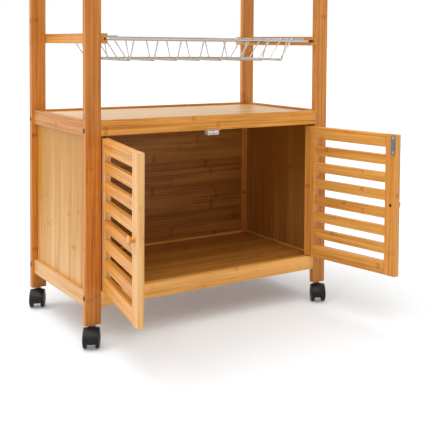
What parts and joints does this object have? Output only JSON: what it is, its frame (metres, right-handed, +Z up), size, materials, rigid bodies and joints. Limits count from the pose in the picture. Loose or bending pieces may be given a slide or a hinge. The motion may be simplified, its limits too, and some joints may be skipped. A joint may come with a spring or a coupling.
{
  "type": "serving cart",
  "caption": "Bamboo serving cart: a cabinet with slatted doors, a framed shelf, a sliding chrome wire basket and a worktop, on swivel casters.",
  "frame": {"origin": "on the floor, midway between the four posts", "axes": "+X to the right seen from the front, +Y to the back, +Z up; the doors are in front, at -Y"},
  "size_m": [0.6368, 0.5821, 0.87],
  "materials": {
    "bamboo": "satin lacquer",
    "bamboo_dark": "satin lacquer",
    "bamboo_panel": "satin lacquer",
    "chrome_wire": "polished",
    "steel": "zinc plated",
    "dark_steel": "satin black",
    "white_plastic": "moulded",
    "hood_plastic": "moulded",
    "wheel_plastic": "moulded nylon"
  },
  "bodies": {
    "frame": {"front_left_post": "bamboo_dark", "front_right_post": "bamboo_dark", "back_left_post": "bamboo_dark", "back_right_post": "bamboo_dark", "front_bottom_rail": "bamboo", "back_bottom_rail": "bamboo", "left_bottom_rail": "bamboo", "right_bottom_rail": "bamboo", "front_top_rail": "bamboo", "back_top_rail": "bamboo", "left_top_rail": "bamboo", "right_top_rail": "bamboo", "floor_board": "bamboo_panel", "shelf_board": "bamboo_panel", "back_panel": "bamboo_panel", "left_side_panel": "bamboo_panel", "right_side_panel": "bamboo_panel", "worktop_rails": "bamboo", "worktop_board": "bamboo_panel", "frame_screws": "dark_steel", "left_runner": "bamboo", "right_runner": "bamboo", "hinge_pins": "steel", "catch_body": "white_plastic", "catch_magnets": "steel", "caster_stems": "steel"},
    "basket": {"basket_ring": "chrome_wire", "basket_rim": "chrome_wire", "basket_long_wires": "chrome_wire", "basket_side_wires": "chrome_wire"},
    "left_door": {"left_door_hinge_stile": "bamboo_dark", "left_door_free_stile": "bamboo_dark", "left_door_top_rail": "bamboo", "left_door_bottom_rail": "bamboo", "left_door_slats": "bamboo", "left_door_knob": "bamboo_dark", "left_door_strike": "steel"},
    "right_door": {"right_door_hinge_stile": "bamboo_dark", "right_door_free_stile": "bamboo_dark", "right_door_top_rail": "bamboo", "right_door_bottom_rail": "bamboo", "right_door_slats": "bamboo", "right_door_knob": "bamboo_dark", "right_door_strike": "steel"},
    "front_left_caster": {"front_left_hood": "hood_plastic", "front_left_axle": "steel"},
    "front_left_inner_wheel": {"front_left_inner_wheel": "wheel_plastic"},
    "front_left_outer_wheel": {"front_left_outer_wheel": "wheel_plastic"},
    "front_right_caster": {"front_right_hood": "hood_plastic", "front_right_axle": "steel"},
    "front_right_inner_wheel": {"front_right_inner_wheel": "wheel_plastic"},
    "front_right_outer_wheel": {"front_right_outer_wheel": "wheel_plastic"},
    "back_left_caster": {"back_left_hood": "hood_plastic", "back_left_axle": "steel"},
    "back_left_inner_wheel": {"back_left_inner_wheel": "wheel_plastic"},
    "back_left_outer_wheel": {"back_left_outer_wheel": "wheel_plastic"},
    "back_right_caster": {"back_right_hood": "hood_plastic", "back_right_axle": "steel"},
    "back_right_inner_wheel": {"back_right_inner_wheel": "wheel_plastic"},
    "back_right_outer_wheel": {"back_right_outer_wheel": "wheel_plastic"}
  },
  "joints": [
    {"name": "basket_slide", "type": "slide", "parent": "frame", "child": "basket", "axis": [0, -1, 0], "range_m": [0, 0.2]},
    {"name": "left_door_hinge", "type": "hinge", "parent": "frame", "child": "left_door", "pos_m": [-0.2565, -0.155, 0.26375], "axis": [0, 0, 1], "range_deg": [-8, 100]},
    {"name": "right_door_hinge", "type": "hinge", "parent": "frame", "child": "right_door", "pos_m": [0.2565, -0.155, 0.26375], "axis": [0, 0, -1], "range_deg": [-8, 100]},
    {"name": "front_left_swivel", "type": "hinge", "parent": "frame", "child": "front_left_caster", "pos_m": [-0.2835, -0.155, 0.034], "axis": [0, 0, 1], "continuous": true},
    {"name": "front_left_inner_wheel_spin", "type": "hinge", "parent": "front_left_caster", "child": "front_left_inner_wheel", "pos_m": [-0.28913, -0.16559, 0.019], "axis": [-0.8829, 0.4695, 0], "continuous": true},
    {"name": "front_left_outer_wheel_spin", "type": "hinge", "parent": "front_left_caster", "child": "front_left_outer_wheel", "pos_m": [-0.28913, -0.16559, 0.019], "axis": [-0.8829, 0.4695, 0], "continuous": true},
    {"name": "front_right_swivel", "type": "hinge", "parent": "frame", "child": "front_right_caster", "pos_m": [0.2835, -0.155, 0.034], "axis": [0, 0, 1], "continuous": true},
    {"name": "front_right_inner_wheel_spin", "type": "hinge", "parent": "front_right_caster", "child": "front_right_inner_wheel", "pos_m": [0.27787, -0.16559, 0.019], "axis": [-0.8829, 0.4695, 0], "continuous": true},
    {"name": "front_right_outer_wheel_spin", "type": "hinge", "parent": "front_right_caster", "child": "front_right_outer_wheel", "pos_m": [0.27787, -0.16559, 0.019], "axis": [-0.8829, 0.4695, 0], "continuous": true},
    {"name": "back_left_swivel", "type": "hinge", "parent": "frame", "child": "back_left_caster", "pos_m": [-0.2835, 0.155, 0.034], "axis": [0, 0, 1], "continuous": true},
    {"name": "back_left_inner_wheel_spin", "type": "hinge", "parent": "back_left_caster", "child": "back_left_inner_wheel", "pos_m": [-0.28913, 0.14441, 0.019], "axis": [-0.8829, 0.4695, 0], "continuous": true},
    {"name": "back_left_outer_wheel_spin", "type": "hinge", "parent": "back_left_caster", "child": "back_left_outer_wheel", "pos_m": [-0.28913, 0.14441, 0.019], "axis": [-0.8829, 0.4695, 0], "continuous": true},
    {"name": "back_right_swivel", "type": "hinge", "parent": "frame", "child": "back_right_caster", "pos_m": [0.2835, 0.155, 0.034], "axis": [0, 0, 1], "continuous": true},
    {"name": "back_right_inner_wheel_spin", "type": "hinge", "parent": "back_right_caster", "child": "back_right_inner_wheel", "pos_m": [0.27787, 0.14441, 0.019], "axis": [-0.8829, 0.4695, 0], "continuous": true},
    {"name": "back_right_outer_wheel_spin", "type": "hinge", "parent": "back_right_caster", "child": "back_right_outer_wheel", "pos_m": [0.27787, 0.14441, 0.019], "axis": [-0.8829, 0.4695, 0], "continuous": true}
  ]
}
